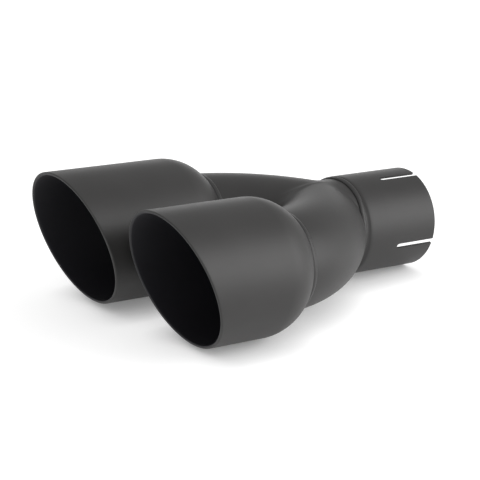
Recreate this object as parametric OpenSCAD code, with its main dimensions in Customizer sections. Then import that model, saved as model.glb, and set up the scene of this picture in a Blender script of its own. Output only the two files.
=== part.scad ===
// Twin exhaust tip: two slash-cut round outlets, two bent branch pipes that
// merge into one neck, and a slotted sleeve that clamps over the tail pipe.
// The origin is the centre of the sleeve's mouth. The sleeve's axis is X and
// its mouth faces +X, the outlets face -X, and +Z is up on the vehicle.

/* [Outlets] */
// Outside diameter of each outlet
tip_od = 88.9; // [80:0.1:100]
// Wall of the outlets
tip_wall = 1.5; // [1:0.1:2]
// Gap between the outsides of the two outlets
tip_gap = 9.3; // [7:0.1:23]
// Length of the near outlet, from the middle of its lip to its dome
near_tip_length = 57; // [45:0.5:80]
// Length of the far outlet, from the middle of its lip to its dome
far_tip_length = 70.5; // [45:0.5:95]
// How far the far outlet's dome starts behind the near one's
far_dome_offset = 4.6; // [0:0.1:10]
// Slope of the slash cut, with the top edge the longer one
slash_angle = 21; // [0:1:30]
// Radius of the arc that rounds each outlet down to its pipe
dome_radius = 33.5; // [26:0.5:38]
// Thickness of the lip that is rolled in round the slash cut
lip_thickness = 2.8; // [2:0.1:4]
// Depth of the rolled lip, square to the slash cut
lip_depth = 3.2; // [2:0.1:6]

/* [Branch pipes] */
// Outside diameter of the branch pipes
branch_od = 65; // [58:0.5:66]
// Wall of the branch pipes
branch_wall = 1.5; // [1:0.1:2]
// Radius of each bend along the middle of the pipe
bend_radius = 95; // [90:1:105]
// Distance from the neck's end back to the point where the two bends meet
merge_setback = 18; // [17:0.1:24]
// Distance from the sleeve's mouth to the neck's end
neck_setback = 61.4; // [56:0.1:70]
// Depth that each pipe reaches past its weld into the outlet
pipe_insert = 15.4; // [4:0.1:18]
// How much less the neck's radius is than the branches'
neck_step = 0.5; // [0.3:0.1:1]

/* [Inlet sleeve] */
// Bore of the sleeve, which slips over a 63.5 mm tail pipe
sleeve_bore = 64; // [60:0.1:70]
// Wall of the sleeve
sleeve_wall = 1.6; // [1.2:0.1:2.5]
// Length of the taper between the bore and the reduced end
taper_length = 2; // [1.5:0.1:8]
// Chamfer round the sleeve's mouth
mouth_chamfer = 0.4; // [0.1:0.1:0.7]
// Number of clamping slots
slot_count = 4; // [2:1:6]
// Width of each clamping slot
slot_width = 3.5; // [2:0.1:6]
// Length of each clamping slot, with its round end
slot_length = 32.3; // [20:0.5:45]
// Turn of the first slot from +Y towards +Z
slot_turn = 15.8; // [0:0.5:90]

/* [Welds] */
// Width of the weld beads behind the outlets
weld_width = 3.6; // [2.6:0.1:4]
// Width of the weld bead round the neck, half of it on the sleeve's reduced end
neck_weld_width = 3; // [2.4:0.1:4]
// Height above the pipe of the weld beads behind the outlets
weld_height = 1.5; // [0.8:0.1:2]
// Height of the lower weld bead round the neck
neck_weld_height = 1; // [0.6:0.1:1.5]

/* [Hidden] */
$fn = 72;
bead_fn = 120;   // finer circles under the thin beads
coat = [0.16, 0.16, 0.165];
bead_coat = [0.2, 0.2, 0.205];

tip_r = tip_od / 2;
branch_r = branch_od / 2;
sleeve_r = sleeve_bore / 2 + sleeve_wall;
neck_r = branch_r - neck_step;   // of the neck and the sleeve's reduced end
tip_spacing = tip_od + tip_gap;  // between the axes of the two outlets
lateral = tip_spacing / 2;
margin = 1;      // how far cutting bodies run past what they cut
big = 400;       // reach of the half spaces

// The merge, worked back from the neck
neck_x = -neck_setback;
merge_x = neck_x - merge_setback;
merge_angle = acos(1 - lateral / bend_radius);   // each bend's turn where they meet
bend_start_x = merge_x - bend_radius * sin(merge_angle);

// The welds lie where the outside of each dome meets its pipe
dome_angle = acos(1 - (tip_r - branch_r) / dome_radius);
dome_run = dome_radius * sin(dome_angle);
near_weld_x = bend_start_x + pipe_insert;
far_weld_x = near_weld_x + far_dome_offset;

// Swing and sideways shift of a branch pipe where it leaves its outlet
function pipe_swing(x) = asin((x - bend_start_x) / bend_radius);
function pipe_shift(x) = bend_radius * (1 - cos(pipe_swing(x)));
// Turn of the seam between a dome and its off-centre pipe
function seam_turn(x) = atan(pipe_shift(x) / tan(dome_angle) / branch_r);

// The half space behind an upright plane at x
module behind(x) {
    translate([x - big, -big / 2, -big / 2]) cube(big);
}

// The half space on the near side, -Y, of the symmetry plane
module near_side() {
    translate([-big, -big, -big / 2]) cube([2 * big, big, big]);
}

module across() {
    mirror([0, 1, 0]) children();
}

// Round bar from the origin along X
module bar(r, length) {
    rotate([0, 90, 0]) cylinder(r = r, h = length);
}

// The near branch as bars: its bend, which runs on past the merge, and the neck
module bend(r) {
    translate([bend_start_x, bend_radius - lateral, 0]) rotate([0, 0, -90])
        rotate_extrude(angle = 90) translate([bend_radius, 0]) circle(r = r);
}

module neck(r, past = 0) {
    translate([merge_x, 0, 0]) bar(r, merge_setback + past);
}

// The part of a bar on the near side of the symmetry plane and behind the neck's end
module near_half() {
    intersection() {
        children();
        near_side();
        behind(neck_x);
    }
}

module branch_pipe() {
    bore_r = branch_r - branch_wall;
    difference() {
        union() {
            near_half() bend(branch_r);
            near_half() neck(neck_r);
        }
        bend(bore_r);
        neck(neck_r - branch_wall, margin);
        translate([bend_start_x - margin, -lateral, 0]) bar(bore_r, margin);
    }
}

module near_branch_pipe() {
    color(coat) branch_pipe();
}

module far_branch_pipe() {
    color(coat) across() branch_pipe();
}

// Half section of an outlet's shell, radius along x and the axis along y, the dome from y = 0
module shell_section(length) {
    arc_centre = tip_r - dome_radius;
    rim_r = branch_r - 2 * tip_wall;
    translate([arc_centre, 0]) intersection() {
        difference() {
            circle(r = dome_radius);
            circle(r = dome_radius - tip_wall);
        }
        translate([rim_r - arc_centre, 0]) square(dome_radius);
    }
    translate([tip_r - tip_wall, -length]) square([tip_wall, length]);
}

// Everything behind the slash cut, set back square to it
module past_slash(lip_x, setback = 0) {
    translate([lip_x, 0, 0]) rotate([0, -slash_angle, 0])
        translate([setback, -big / 2, -big / 2]) cube(big);
}

// Outlet on the X axis: domed shell with a thick lip round the slash cut
module outlet(dome_x, length) {
    lip_x = dome_x - length;
    reach = length + tip_r * tan(slash_angle) + margin;
    intersection() {
        union() {
            translate([dome_x, 0, 0]) rotate([0, 90, 0]) rotate_extrude() shell_section(reach);
            difference() {
                translate([dome_x - reach, 0, 0]) bar(tip_r - tip_wall / 2, reach);
                translate([dome_x - reach - margin, 0, 0]) bar(tip_r - lip_thickness, reach + 2 * margin);
                past_slash(lip_x, lip_depth);
            }
        }
        past_slash(lip_x);
    }
}

module near_tip() {
    color(coat) difference() {
        translate([0, -lateral, 0]) outlet(near_weld_x - dome_run, near_tip_length);
        bend(branch_r);
    }
}

module far_tip() {
    color(coat) difference() {
        translate([0, lateral, 0]) outlet(far_weld_x - dome_run, far_tip_length);
        across() bend(branch_r);
    }
}

module inlet_sleeve() {
    bore_r = sleeve_bore / 2;
    taper_end = neck_setback - neck_weld_width / 2;
    taper_start = taper_end - taper_length;
    color(coat) difference() {
        rotate([0, -90, 0]) rotate_extrude() polygon([
            [bore_r, 0], [bore_r, taper_start],
            [neck_r - sleeve_wall, taper_end], [neck_r - sleeve_wall, neck_setback],
            [neck_r, neck_setback], [neck_r, taper_end],
            [sleeve_r, taper_start], [sleeve_r, mouth_chamfer], [sleeve_r - mouth_chamfer, 0]]);
        for (i = [0 : slot_count - 1])
            rotate([slot_turn + i * 360 / slot_count, 0, 0]) translate([slot_width / 2 - slot_length, 0, 0]) {
                translate([0, 0, -slot_width / 2]) cube([slot_length, sleeve_r + margin, slot_width]);
                rotate([-90, 0, 0]) cylinder(d = slot_width, h = sleeve_r + margin);
            }
    }
}

// Section of a bead with a rounded crown, standing on radius r, radius along x
module bead_section(r, width, height) {
    crown_r = (pow(width / 2, 2) + pow(height, 2)) / (2 * height);
    intersection() {
        translate([r + height - crown_r, 0]) circle(r = crown_r);
        translate([r - branch_wall / 2, -width / 2]) square([height + branch_wall, width]);
    }
}

// Everything under a dome's outside, on the X axis
module dome_fill(dome_x) {
    translate([dome_x, 0, 0]) rotate([0, 90, 0]) rotate_extrude() intersection() {
        union() {
            translate([tip_r - dome_radius, 0]) circle(r = dome_radius);
            square([tip_r - dome_radius, dome_radius]);
        }
        square(tip_r + margin);
    }
}

// Bead round a pipe where it leaves its outlet
module outlet_bead(weld_x) {
    $fn = bead_fn;
    difference() {
        translate([weld_x + weld_width / 3, pipe_shift(weld_x) - lateral, 0])
            rotate([0, 90, seam_turn(weld_x)]) rotate_extrude()
                bead_section(branch_r, weld_width, weld_height);
        bend(branch_r);
        translate([0, -lateral, 0]) dome_fill(weld_x - dome_run);
    }
}

module near_tip_weld() {
    color(bead_coat) outlet_bead(near_weld_x);
}

module far_tip_weld() {
    color(bead_coat) across() outlet_bead(far_weld_x);
}

module sleeve_weld() {
    color(bead_coat) difference() {
        translate([neck_x, 0, 0]) rotate([0, 90, 0]) rotate_extrude() difference() {
            bead_section(neck_r, neck_weld_width, neck_weld_height);
            translate([0, -neck_weld_width]) square([neck_r, 2 * neck_weld_width]);
        }
        near_half() bend(branch_r);
        across() near_half() bend(branch_r);
    }
}

near_tip();
far_tip();
near_branch_pipe();
far_branch_pipe();
inlet_sleeve();
near_tip_weld();
far_tip_weld();
sleeve_weld();
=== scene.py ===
import math
import bpy
import bmesh
from mathutils import Matrix, Vector, noise


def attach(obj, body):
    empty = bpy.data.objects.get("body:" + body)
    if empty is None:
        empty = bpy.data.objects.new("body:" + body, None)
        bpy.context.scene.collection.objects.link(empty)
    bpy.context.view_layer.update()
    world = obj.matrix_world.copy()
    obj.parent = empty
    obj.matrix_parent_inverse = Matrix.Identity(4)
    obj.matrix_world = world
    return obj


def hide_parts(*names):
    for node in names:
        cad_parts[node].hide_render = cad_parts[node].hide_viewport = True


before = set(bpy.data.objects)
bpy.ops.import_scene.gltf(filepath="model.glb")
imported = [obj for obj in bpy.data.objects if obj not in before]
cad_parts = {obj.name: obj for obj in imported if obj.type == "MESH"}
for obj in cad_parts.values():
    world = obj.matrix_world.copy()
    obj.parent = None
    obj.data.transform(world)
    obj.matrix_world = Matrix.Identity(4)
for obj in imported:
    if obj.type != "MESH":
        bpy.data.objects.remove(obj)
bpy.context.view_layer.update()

# Satin black twin exhaust tip. X runs out of the sleeve's mouth, the outlets face -X, Z is up.
mm = 0.001

# Sizes that the pieces share, in millimetres, as in the part's source
layout = {
    "tipRadius": 44.45, "lateral": 49.1, "domeRadius": 33.5, "tipWall": 1.5,
    "pipeRadius": 32.5, "neckRadius": 32.0, "pipeWall": 1.5, "bendRadius": 95.0,
    "neckX": -61.4, "mergeX": -79.4, "pipeInsert": 15.4, "farOffset": 4.6,
}
bendTurn = math.acos(1 - layout["lateral"] / layout["bendRadius"])
bendStartX = layout["mergeX"] - layout["bendRadius"] * math.sin(bendTurn)
domeAngle = math.acos(1 - (layout["tipRadius"] - layout["pipeRadius"]) / layout["domeRadius"])
domeRun = layout["domeRadius"] * math.sin(domeAngle)


def eased(share):
    # from 0 to 1 with a soft start and a soft end
    share = min(max(share, 0), 1)
    return share * share * (3 - 2 * share)


def solve(low, high, outside, steps=32):
    # the place between low and high where outside turns positive
    for step in range(steps):
        middle = (low + high) / 2
        if outside(middle) > 0:
            high = middle
        else:
            low = middle
    return (low + high) / 2


def pipeDistance(x, y, z, side, radius):
    # how far a point is outside a branch pipe, side -1 for the near one and 1 for the far one
    dx, dy = x - bendStartX, side * y - (layout["lateral"] - layout["bendRadius"])
    if dx < 0:  # straight back from where the bend starts
        return math.hypot(side * y - layout["lateral"], z) - radius
    return math.hypot(math.hypot(dx, dy) - layout["bendRadius"], z) - radius


def addPiece(name, bm, materials, replaced, smoothAngle=60):
    mesh = bpy.data.meshes.new(name)
    bmesh.ops.recalc_face_normals(bm, faces=bm.faces)
    bm.to_mesh(mesh)
    bm.free()
    mesh.transform(Matrix.Scale(mm, 4))
    piece = bpy.data.objects.new(name, mesh)
    bpy.context.scene.collection.objects.link(piece)
    for face in mesh.polygons:
        face.use_smooth = True
    mesh.set_sharp_from_angle(angle=math.radians(smoothAngle))
    for material in materials:
        mesh.materials.append(material)
    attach(piece, "root")
    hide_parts(*replaced)
    return piece


def addWall(piece, name, thickness):
    # the mesh is the outside, and the wall grows inwards with the inside coat, a darker copy of the
    # coat that paints the shade in the hollows
    shell = piece.modifiers.new(name, "SOLIDIFY")
    shell.thickness = thickness * mm
    shell.offset = -1
    shell.material_offset = 1


def loftRings(bm, rings):
    # closed rings of points joined into quads, the last ring to the first as well
    made = [[bm.verts.new(p) for p in ring] for ring in rings]
    faces = []
    for a, b in zip(made, made[1:] + made[:1]):
        row = []
        for i in range(len(a)):
            j = (i + 1) % len(a)
            row.append(bm.faces.new((a[i], a[j], b[j], b[i])))
        faces.append(row)
    return faces


print("finishes")
coatLook = {
    "outletCoat": {"colour": (0.0245, 0.0235, 0.0230), "rough": 0.50, "grain": 0.10, "drift": 0.12},
    "pipeCoat": {"colour": (0.0220, 0.0210, 0.0206), "rough": 0.50, "grain": 0.12, "drift": 0.14},
    "weldCoat": {"colour": (0.0250, 0.0240, 0.0236), "rough": 0.46, "grain": 0.10, "drift": 0.20},
    # the inside coat is the outside coat made darker and bluer: painted shade for the insides of the
    # outlets, the pipes and the sleeve
    "insidePaintedShade": {"colour": (0.0125, 0.0120, 0.0150), "rough": 0.55, "grain": 0.10, "drift": 0.10},
}
spray = {  # what all the coats share
    "driftScale": 22, "driftDetail": 4, "driftLow": 0.3, "driftHigh": 0.7,
    "grainScale": 1400, "grainDetail": 3, "grainDepth": 0.0001,
    "glossier": 0.05, "duller": 0.07, "ior": 1.44,
}


def satinCoat(name):
    look = coatLook[name]
    coat = bpy.data.materials.new(name)
    coat.use_nodes = True
    nodes, links = coat.node_tree.nodes, coat.node_tree.links
    shader = nodes["Principled BSDF"]
    place = nodes.new("ShaderNodeTexCoord")
    # slow drift of the coat's shade over the surface
    cloud = nodes.new("ShaderNodeTexNoise")
    cloud.inputs["Scale"].default_value = spray["driftScale"]
    cloud.inputs["Detail"].default_value = spray["driftDetail"]
    links.new(place.outputs["Object"], cloud.inputs["Vector"])
    shade = nodes.new("ShaderNodeValToRGB")
    dark, pale = shade.color_ramp.elements
    dark.position = spray["driftLow"]
    dark.color = [c * (1 - look["drift"]) for c in look["colour"]] + [1]
    pale.position = spray["driftHigh"]
    pale.color = [c * (1 + look["drift"]) for c in look["colour"]] + [1]
    links.new(cloud.outputs["Fac"], shade.inputs["Fac"])
    links.new(shade.outputs["Color"], shader.inputs["Base Color"])
    # sprayed grain, which breaks up the gloss
    grain = nodes.new("ShaderNodeTexNoise")
    grain.inputs["Scale"].default_value = spray["grainScale"]
    grain.inputs["Detail"].default_value = spray["grainDetail"]
    links.new(place.outputs["Object"], grain.inputs["Vector"])
    gloss = nodes.new("ShaderNodeMapRange")
    gloss.inputs["To Min"].default_value = look["rough"] - spray["glossier"]
    gloss.inputs["To Max"].default_value = look["rough"] + spray["duller"]
    links.new(grain.outputs["Fac"], gloss.inputs["Value"])
    links.new(gloss.outputs["Result"], shader.inputs["Roughness"])
    bump = nodes.new("ShaderNodeBump")
    bump.inputs["Strength"].default_value = look["grain"]
    bump.inputs["Distance"].default_value = spray["grainDepth"]
    links.new(grain.outputs["Fac"], bump.inputs["Height"])
    links.new(bump.outputs["Normal"], shader.inputs["Normal"])
    shader.inputs["IOR"].default_value = spray["ior"]
    return coat


outletCoat = satinCoat("outletCoat")
pipeCoat = satinCoat("pipeCoat")
weldCoat = satinCoat("weldCoat")
insidePaintedShade = satinCoat("insidePaintedShade")

print("outlets")
outlet = {
    "nearLength": 57.0, "farLength": 70.5, "slash": 21.0,
    "lipThickness": 2.1, "lipFade": 30.0,
    "noseRun": 1.6,  # how far behind the cut the plain wall ends, in radii of the lip's nose
    "around": 240, "domeRows": 26, "wallRows": 24, "noseRows": 12, "fadeRows": 10,
    "leastTurn": 0.2, "mostTurn": 1.35,  # between which the dome meets its pipe
    "smoothAngle": 40,
}


def domePoint(side, domeX, radius, turn, angle):
    # point of the dome's arc of that radius, at an angle round the outlet
    reach = layout["tipRadius"] - layout["domeRadius"] + radius * math.cos(turn)
    return Vector((domeX + radius * math.sin(turn),
                   side * layout["lateral"] + reach * math.cos(angle), reach * math.sin(angle)))


def domeEnd(side, domeX, radius, angle, pipeRadius):
    # turn at which the dome's arc comes down onto the branch pipe
    def inside(turn):
        return -pipeDistance(*domePoint(side, domeX, radius, turn, angle), side, pipeRadius)

    return solve(outlet["leastTurn"], outlet["mostTurn"], inside)


def buildOutlet(name, side, weldX, length, node):
    domeX = weldX - domeRun
    lipX = domeX - length
    slope = math.tan(math.radians(outlet["slash"]))
    r, wall = layout["tipRadius"], layout["tipWall"]
    thick, fade = outlet["lipThickness"], outlet["lipFade"]
    nose = thick / 2
    angles = [2 * math.pi * i / outlet["around"] for i in range(outlet["around"])]
    seat = layout["pipeRadius"] - layout["pipeWall"] / 2  # the dome ends inside the pipe's wall

    def domeRow(radius, share):
        ring = []
        for angle in angles:
            turn = domeEnd(side, domeX, radius, angle, seat) * share
            ring.append(domePoint(side, domeX, radius, turn, angle))
        return ring

    def wallRow(radius, back, share=0):
        # back counts from the slash cut, whose slope fades towards the dome as share grows
        ring = []
        for angle in angles:
            z = radius * math.sin(angle)
            start = lipX - z * slope + back
            x = start + (domeX - start) * share
            ring.append(Vector((x, side * layout["lateral"] + radius * math.cos(angle), z)))
        return ring

    domeRows, count = outlet["domeRows"], outlet["wallRows"]
    rings = [domeRow(layout["domeRadius"], 1 - i / domeRows) for i in range(domeRows)]
    rings += [wallRow(r, nose * outlet["noseRun"], 1 - i / count) for i in range(count + 1)]
    for i in range(outlet["noseRows"] + 1):  # rolled nose of the lip
        turn = math.pi * i / outlet["noseRows"]
        rings.append(wallRow(r - nose + nose * math.cos(turn), nose - nose * math.sin(turn)))
    firstInside = len(rings) - 1 - outlet["noseRows"] // 2  # from the nose's tip
    for i in range(1, outlet["fadeRows"] + 1):  # the lip's inner side, eased back to the wall
        share = i / outlet["fadeRows"]
        radius = r - thick + (thick - wall) * eased(share)
        rings.append(wallRow(radius, nose + (fade - nose) * share))
    rings += [wallRow(r - wall, fade, i / count) for i in range(1, count)]
    rings += [domeRow(layout["domeRadius"] - wall, i / domeRows) for i in range(domeRows + 1)]
    bm = bmesh.new()
    for number, row in enumerate(loftRings(bm, rings)):
        for face in row:
            # from the nose's tip inwards the faces take the darker inside coat, which paints the
            # shade inside the outlet
            face.material_index = 1 if number >= firstInside else 0
    addPiece(name, bm, [outletCoat, insidePaintedShade], [node], outlet["smoothAngle"])


nearWeldX = bendStartX + layout["pipeInsert"]
farWeldX = nearWeldX + layout["farOffset"]
buildOutlet("nearOutlet", -1, nearWeldX, outlet["nearLength"], "near_tip")
buildOutlet("farOutlet", 1, farWeldX, outlet["farLength"], "far_tip")

print("branch pipes")
branch = {
    "crotchBlend": 11.0, "blendRun": 34.0, "neckBlend": 1.5,
    "around": 96, "bendSections": 26, "crotchSections": 12, "fanSections": 30,
    "bendCrowding": 1.5, "crotchCrowding": 1.8,  # how closely the sections lie at the crotch
    "fanStart": 50.5, "fanReach": 129.8, "fanInward": 35.3,
    "endRows": (-61.9, -61.6, layout["neckX"]),
    "crotchFrom": -140, "leastReach": 2, "mostReach": 80, "leastCut": 0.5,  # where solve looks
    "joinGap": 0.001,
}


def softUnion(a, b, width):
    # the smaller of two distances, rounded where they are less than width apart
    h = max(width - abs(a - b), 0) / width
    return min(a, b) - h * h * h * width / 6


def forkDistance(x, y, z):
    # each bend stops at the plane between the two
    near = max(pipeDistance(x, y, z, -1, layout["pipeRadius"]), y)
    far = max(pipeDistance(x, y, z, 1, layout["pipeRadius"]), -y)
    # the hollow between the pipes is widest at the crotch and dies out at the neck
    extra = branch["crotchBlend"] - branch["neckBlend"]
    width = branch["neckBlend"] + extra * eased((layout["mergeX"] - x) / branch["blendRun"])
    neckPart = max(math.hypot(y, z) - layout["neckRadius"], layout["mergeX"] - x)
    return softUnion(softUnion(near, far, width), neckPart, branch["neckBlend"])


def forkRing(centre, across, cut):
    # section of one half: centre and across lie flat and y counts outwards
    def pointAt(angle):
        c, z = math.cos(angle), math.sin(angle)

        def along(t):
            return centre[0] + t * c * across[0], centre[1] + t * c * across[1], t * z

        reach = solve(branch["leastReach"], branch["mostReach"], lambda t: forkDistance(*along(t)))
        return along(reach)

    end = math.pi
    if cut:  # the ring stops at y = 0
        end = solve(branch["leastCut"], math.pi, lambda angle: -pointAt(angle)[1])
    count = branch["around"]
    ring = [pointAt(end * (2 * i / count - 1)) for i in range(count + 1)]
    if cut:
        ring[0], ring[-1] = (ring[0][0], 0, ring[0][2]), (ring[-1][0], 0, ring[-1][2])
    return ring


def buildFork():
    bendR = layout["bendRadius"]
    sunk = bendR - layout["lateral"]
    crotchX = solve(branch["crotchFrom"], layout["mergeX"], lambda x: -forkDistance(x, 0, 0))
    crotch = math.atan2(crotchX - bendStartX, sunk)
    fanStart = math.radians(branch["fanStart"])
    whole, count = branch["bendSections"], branch["crotchSections"]
    swings = [crotch * (1 - (1 - i / whole) ** branch["bendCrowding"]) for i in range(whole + 1)]
    swings += [crotch + (fanStart - crotch) * (i / count) ** branch["crotchCrowding"]
               for i in range(1, count + 1)]
    rings = []
    for number, swing in enumerate(swings):
        across = (math.sin(swing), math.cos(swing))
        centre = (bendStartX + bendR * across[0], bendR * across[1] - sunk)
        rings.append(forkRing(centre, across, number > whole))
    rings[whole][0] = rings[whole][-1] = (crotchX, 0, 0)
    # from here the sections fan round a point just outside the corner between bend and neck
    across = (math.sin(fanStart), math.cos(fanStart))
    pivot = (bendStartX + branch["fanReach"] * across[0], branch["fanReach"] * across[1] - sunk)
    for i in range(1, branch["fanSections"] + 1):
        share = i / branch["fanSections"]
        swing = fanStart * (1 - share)
        across = (math.sin(swing), math.cos(swing))
        inward = branch["fanInward"] + (pivot[1] - branch["fanInward"]) * share
        centre = (pivot[0] - inward * across[0], pivot[1] - inward * across[1])
        rings.append(forkRing(centre, across, True))
    for x in branch["endRows"]:
        rings.append(forkRing((x, 0), (0, 1), True))
    bm = bmesh.new()
    for side in (-1, 1):
        made = [[bm.verts.new((x, side * y, z)) for x, y, z in ring] for ring in rings]
        for a, b in zip(made, made[1:]):
            for i in range(branch["around"]):
                bm.faces.new((a[i], a[i + 1], b[i + 1], b[i]))
    bmesh.ops.remove_doubles(bm, verts=bm.verts, dist=branch["joinGap"])
    fork = addPiece("forkPipes", bm, [pipeCoat, insidePaintedShade],
                    ["near_branch_pipe", "far_branch_pipe"])
    addWall(fork, "pipeWall", layout["pipeWall"])


buildFork()

print("inlet sleeve")
sleeve = {
    "radius": 33.6, "wall": 1.6, "foot": 32.5, "taperStart": -56.4, "taperEnd": -60.2,
    "slots": 4, "slotWidth": 3.5, "slotLength": 32.3, "slotTurn": 15.8,
    "edge": 0.16, "edgeAngle": 50, "edgeSegments": 2,
    "slotColumns": 12, "plainColumns": 30,
    # rows from the mouth to the slots' round ends, from there to a common row, and on to the neck
    "headRows": [0, -0.8, -2.5, -7, -13, -19, -24, -28],
    "tailRows": 8, "commonX": -36,
    "footRows": [-40, -44, -48, -52, -55, -56.5] + [-57.4 - 0.25 * i for i in range(17)],
}


def sleeveRadius(x):
    share = (sleeve["taperStart"] - x) / (sleeve["taperStart"] - sleeve["taperEnd"])
    return sleeve["radius"] + (sleeve["foot"] - sleeve["radius"]) * eased(share)


def sleeveColumns():
    # for each column its angle, the x where its slot ends, and whether it goes on to the mouth
    half, count = sleeve["slotWidth"] / 2, sleeve["slotColumns"]
    roundX = half - sleeve["slotLength"]
    halfTurn = math.asin(half / sleeve["radius"])
    columns = []
    for slotNumber in range(sleeve["slots"]):
        middle = math.radians(sleeve["slotTurn"] + slotNumber * 360 / sleeve["slots"])
        for j in range(count + 1):
            a = -half * math.cos(math.pi * j / count)
            start = roundX - math.sqrt(max(half * half - a * a, 0))
            columns.append((middle + math.asin(a / sleeve["radius"]), start, j in (0, count)))
        span = 2 * math.pi / sleeve["slots"] - 2 * halfTurn
        for j in range(1, sleeve["plainColumns"]):
            angle = middle + halfTurn + span * j / sleeve["plainColumns"]
            columns.append((angle, roundX, True))
    return columns


def buildSleeve():
    bm = bmesh.new()

    def point(x, angle):
        r = sleeveRadius(x)
        return bm.verts.new((x, r * math.cos(angle), r * math.sin(angle)))

    made = []
    for angle, start, whole in sleeveColumns():
        head = [point(x, angle) for x in sleeve["headRows"]] if whole else []
        run, count = sleeve["commonX"] - start, sleeve["tailRows"]
        tail = [start + run * i / count for i in range(count + 1)]
        made.append((head, [point(x, angle) for x in tail + sleeve["footRows"]]))
    for i, (head, foot) in enumerate(made):
        nextHead, nextFoot = made[(i + 1) % len(made)]
        a, b = foot, nextFoot
        if i % (sleeve["slotColumns"] + sleeve["plainColumns"]) >= sleeve["slotColumns"]:
            a, b = head + foot, nextHead + nextFoot  # no slot here
        for j in range(len(a) - 1):
            bm.faces.new((a[j], b[j], b[j + 1], a[j + 1]))
    piece = addPiece("inletSleeve", bm, [pipeCoat, insidePaintedShade], ["inlet_sleeve"])
    addWall(piece, "sleeveWall", sleeve["wall"])
    edge = piece.modifiers.new("brokenEdge", "BEVEL")
    edge.width = sleeve["edge"] * mm
    edge.segments = sleeve["edgeSegments"]
    edge.limit_method = "ANGLE"
    edge.angle_limit = math.radians(sleeve["edgeAngle"])
    level = piece.modifiers.new("evenShading", "WEIGHTED_NORMAL")
    level.keep_sharp = False


buildSleeve()

print("weld beads")
bead = {
    "domeToe": 0.5, "pipeToe": 3.2, "outletHeight": 0.5,
    "neckToe": 2.5, "sleeveToe": 0.9, "neckHeight": 0.65,
    "neckRise": 2.2, "riseFrom": 0.35,  # how far the neck's bead runs forward over its top
    "fullness": 0.6, "toeDepth": 0.12, "rootDepth": 0.9,
    "around": 720, "crownPoints": 16, "rootPoints": 5,
    "pitch": 1.7, "ripple": 0.16, "rippleShape": 0.6, "rippleBow": 0.35,
    "wander": 0.12, "wanderScale": 0.25,
}


def buildBead(name, path, height, node):
    # path holds, round the seam, the bead's two toes and the way out from the metal
    count, crownPoints, rootPoints = len(path), bead["crownPoints"], bead["rootPoints"]
    length = sum((path[i][0] - path[i - 1][0]).length for i in range(count))
    waves = round(length / bead["pitch"])
    shape = bead["rippleShape"]
    rings = []
    for i, (first, second, out) in enumerate(path):
        wander = noise.noise(first * bead["wanderScale"]) * bead["wander"]
        shift = (second - first).normalized() * wander - out * bead["toeDepth"]
        first, second = first + shift, second + shift
        ring = []
        for k in range(crownPoints + 1):
            share = (1 - math.cos(math.pi * k / crownPoints)) / 2
            crown = math.sin(math.pi * share) ** bead["fullness"]
            phase = (i / count * waves + bead["rippleBow"] * (2 * share - 1) ** 2) % 1
            rise = (bead["toeDepth"] + height) * (1 + bead["ripple"] * (phase ** shape - shape))
            ring.append(first.lerp(second, share) + out * rise * crown)
        for k in range(1, rootPoints + 1):  # the root, sunk into the metal
            share = 1 - k / (rootPoints + 1)
            sink = bead["rootDepth"] * math.sin(math.pi * share)
            ring.append(first.lerp(second, share) - out * sink)
        rings.append(ring)
    bm = bmesh.new()
    loftRings(bm, rings)
    addPiece(name, bm, [weldCoat], [node])


def outletSeam(side, weldX):
    # one toe on the dome, the other on the branch pipe
    domeX, domeR, bendR = weldX - domeRun, layout["domeRadius"], layout["bendRadius"]
    path = []
    for i in range(bead["around"]):
        angle = 2 * math.pi * i / bead["around"]
        turn = domeEnd(side, domeX, domeR, angle, layout["pipeRadius"])
        foot = domePoint(side, domeX, domeR, turn, angle)
        domeToe = domePoint(side, domeX, domeR, turn - bead["domeToe"] / domeR, angle)
        swing = math.asin((foot.x - bendStartX) / bendR)
        along = Vector((math.cos(swing), -side * math.sin(swing), 0))
        axis = Vector((bendStartX + bendR * math.sin(swing),
                       side * (layout["lateral"] - bendR * (1 - math.cos(swing))), 0))
        pipeOut = (foot - axis).normalized()
        domeOut = Vector((math.sin(turn), math.cos(turn) * math.cos(angle),
                          math.cos(turn) * math.sin(angle)))
        path.append((domeToe, foot + along * bead["pipeToe"], (pipeOut + domeOut).normalized()))
    return path


def sleeveSeam():
    # round the neck, and a little further forward over the top
    path = []
    for i in range(bead["around"]):
        angle = 2 * math.pi * i / bead["around"]
        up = Vector((0, math.cos(angle), math.sin(angle)))
        share = (up.z - bead["riseFrom"]) / (1 - bead["riseFrom"])
        middle = layout["neckX"] + bead["neckRise"] * eased(share)
        toes = [Vector((x, 0, 0)) + up * sleeveRadius(x)
                for x in (middle - bead["neckToe"], middle + bead["sleeveToe"])]
        path.append((*toes, up))
    return path


buildBead("nearOutletBead", outletSeam(-1, nearWeldX), bead["outletHeight"], "near_tip_weld")
buildBead("farOutletBead", outletSeam(1, farWeldX), bead["outletHeight"], "far_tip_weld")
buildBead("sleeveBead", sleeveSeam(), bead["neckHeight"], "sleeve_weld")

print("floor")
ground = {
    "colour": (0.70, 0.70, 0.70), "rough": 0.9, "gloss": 0.1, "halfSize": 8, "cuts": 4,
    "glow": 0.58, "shadeReach": 0.020, "shadeDepth": 0.75, "shadeSamples": 16,
}
white = (1, 1, 1, 1)
scene = bpy.context.scene


def cameraRays(nodes, links):
    # 1 where the camera, a reflection or glass looks at the surface
    path = nodes.new("ShaderNodeLightPath")
    seen = path.outputs["Is Camera Ray"]
    for kind in ("Is Glossy Ray", "Is Transmission Ray"):
        either = nodes.new("ShaderNodeMath")
        either.operation = "MAXIMUM"
        links.new(seen, either.inputs[0])
        links.new(path.outputs[kind], either.inputs[1])
        seen = either.outputs[0]
    return seen


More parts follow.
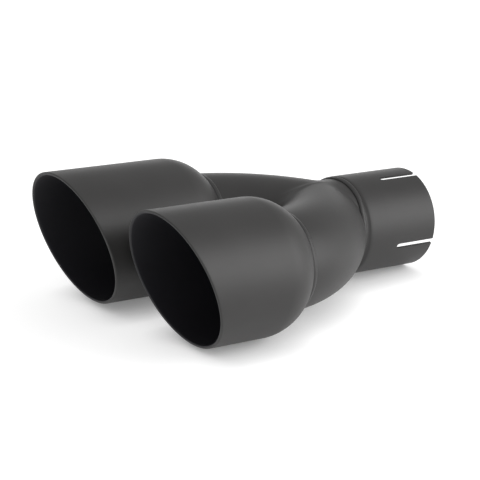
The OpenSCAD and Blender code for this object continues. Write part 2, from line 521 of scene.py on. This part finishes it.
def paleFloor():
    pale = bpy.data.materials.new("paleFloor")
    pale.use_nodes = True
    nodes, links = pale.node_tree.nodes, pale.node_tree.links
    shader = nodes["Principled BSDF"]
    shader.inputs["Base Color"].default_value = [*ground["colour"], 1]
    shader.inputs["Roughness"].default_value = ground["rough"]
    shader.inputs["Specular IOR Level"].default_value = ground["gloss"]
    shader.inputs["Emission Color"].default_value = white
    # the glow stands for light from all round, so it is weaker close to the part
    cover = nodes.new("ShaderNodeAmbientOcclusion")
    cover.samples = ground["shadeSamples"]
    cover.inputs["Distance"].default_value = ground["shadeReach"]
    level = nodes.new("ShaderNodeMapRange")
    level.inputs["To Min"].default_value = ground["glow"] * (1 - ground["shadeDepth"])
    level.inputs["To Max"].default_value = ground["glow"]
    links.new(cover.outputs["AO"], level.inputs["Value"])
    glow = nodes.new("ShaderNodeMath")
    glow.operation = "MULTIPLY"
    links.new(cameraRays(nodes, links), glow.inputs[0])
    links.new(level.outputs["Result"], glow.inputs[1])
    links.new(glow.outputs[0], shader.inputs["Emission Strength"])
    return pale


def buildFloor():
    # the part stands on the lowest places of the far outlet and of the sleeve
    standX = farWeldX - domeRun
    lean = math.atan2(layout["tipRadius"] - sleeve["radius"], -standX)
    mesh = bpy.data.meshes.new("floor")
    bm = bmesh.new()
    bmesh.ops.create_grid(bm, x_segments=ground["cuts"], y_segments=ground["cuts"],
                          size=ground["halfSize"])
    bm.to_mesh(mesh)
    bm.free()
    floor = bpy.data.objects.new("floor", mesh)
    scene.collection.objects.link(floor)
    floor.location = Vector((standX, 0, -layout["tipRadius"])) * mm
    floor.rotation_euler = (0, -lean, 0)
    mesh.materials.append(paleFloor())


buildFloor()

print("light")
worldLevel = 0.72
lampTarget = Vector((-0.13, 0, 0))
lamps = {  # place, width, height and power of each soft lamp
    "sleeveSide": {"place": (0.75, -1.02, 0.52), "width": 1.2, "height": 1.15, "power": 17.6},
    "outletSide": {"place": (-1.20, -0.70, 0.50), "width": 0.9, "height": 0.9, "power": 1.9},
    "behind": {"place": (1.15, 1.40, 0.26), "width": 1.0, "height": 0.36, "power": 2.1},
}


def buildLight():
    world = bpy.data.worlds.new("studioWorld")
    scene.world = world
    world.use_nodes = True
    sky = world.node_tree.nodes["Background"]
    sky.inputs["Color"].default_value = white
    sky.inputs["Strength"].default_value = worldLevel
    for name, lamp in lamps.items():
        light = bpy.data.lights.new(name, "AREA")
        light.shape = "RECTANGLE"
        light.size, light.size_y = lamp["width"], lamp["height"]
        light.energy = lamp["power"]
        holder = bpy.data.objects.new(name, light)
        scene.collection.objects.link(holder)
        holder.location = lamp["place"]
        aim = lampTarget - Vector(lamp["place"])
        holder.rotation_euler = aim.to_track_quat("-Z", "Y").to_euler()


buildLight()

print("camera")
photoView = {
    "place": (-0.8675, -0.9040, 0.3462), "ahead": (0.59979, 0.74736, -0.28584),
    "up": (0.12283, 0.26700, 0.95584), "lens": 139.63, "sensor": 36,
    "nearest": 0.01, "furthest": 60,
}


def buildCamera():
    lens = bpy.data.cameras.new("photoCamera")
    lens.lens = photoView["lens"]
    lens.sensor_width = photoView["sensor"]
    lens.clip_start, lens.clip_end = photoView["nearest"], photoView["furthest"]
    camera = bpy.data.objects.new("photoCamera", lens)
    scene.collection.objects.link(camera)
    back = -Vector(photoView["ahead"]).normalized()
    right = Vector(photoView["up"]).cross(back).normalized()
    turn = Matrix((right, back.cross(right), back)).transposed().to_4x4()
    camera.matrix_world = Matrix.Translation(photoView["place"]) @ turn
    scene.camera = camera
    scene.view_settings.view_transform = "Standard"


buildCamera()
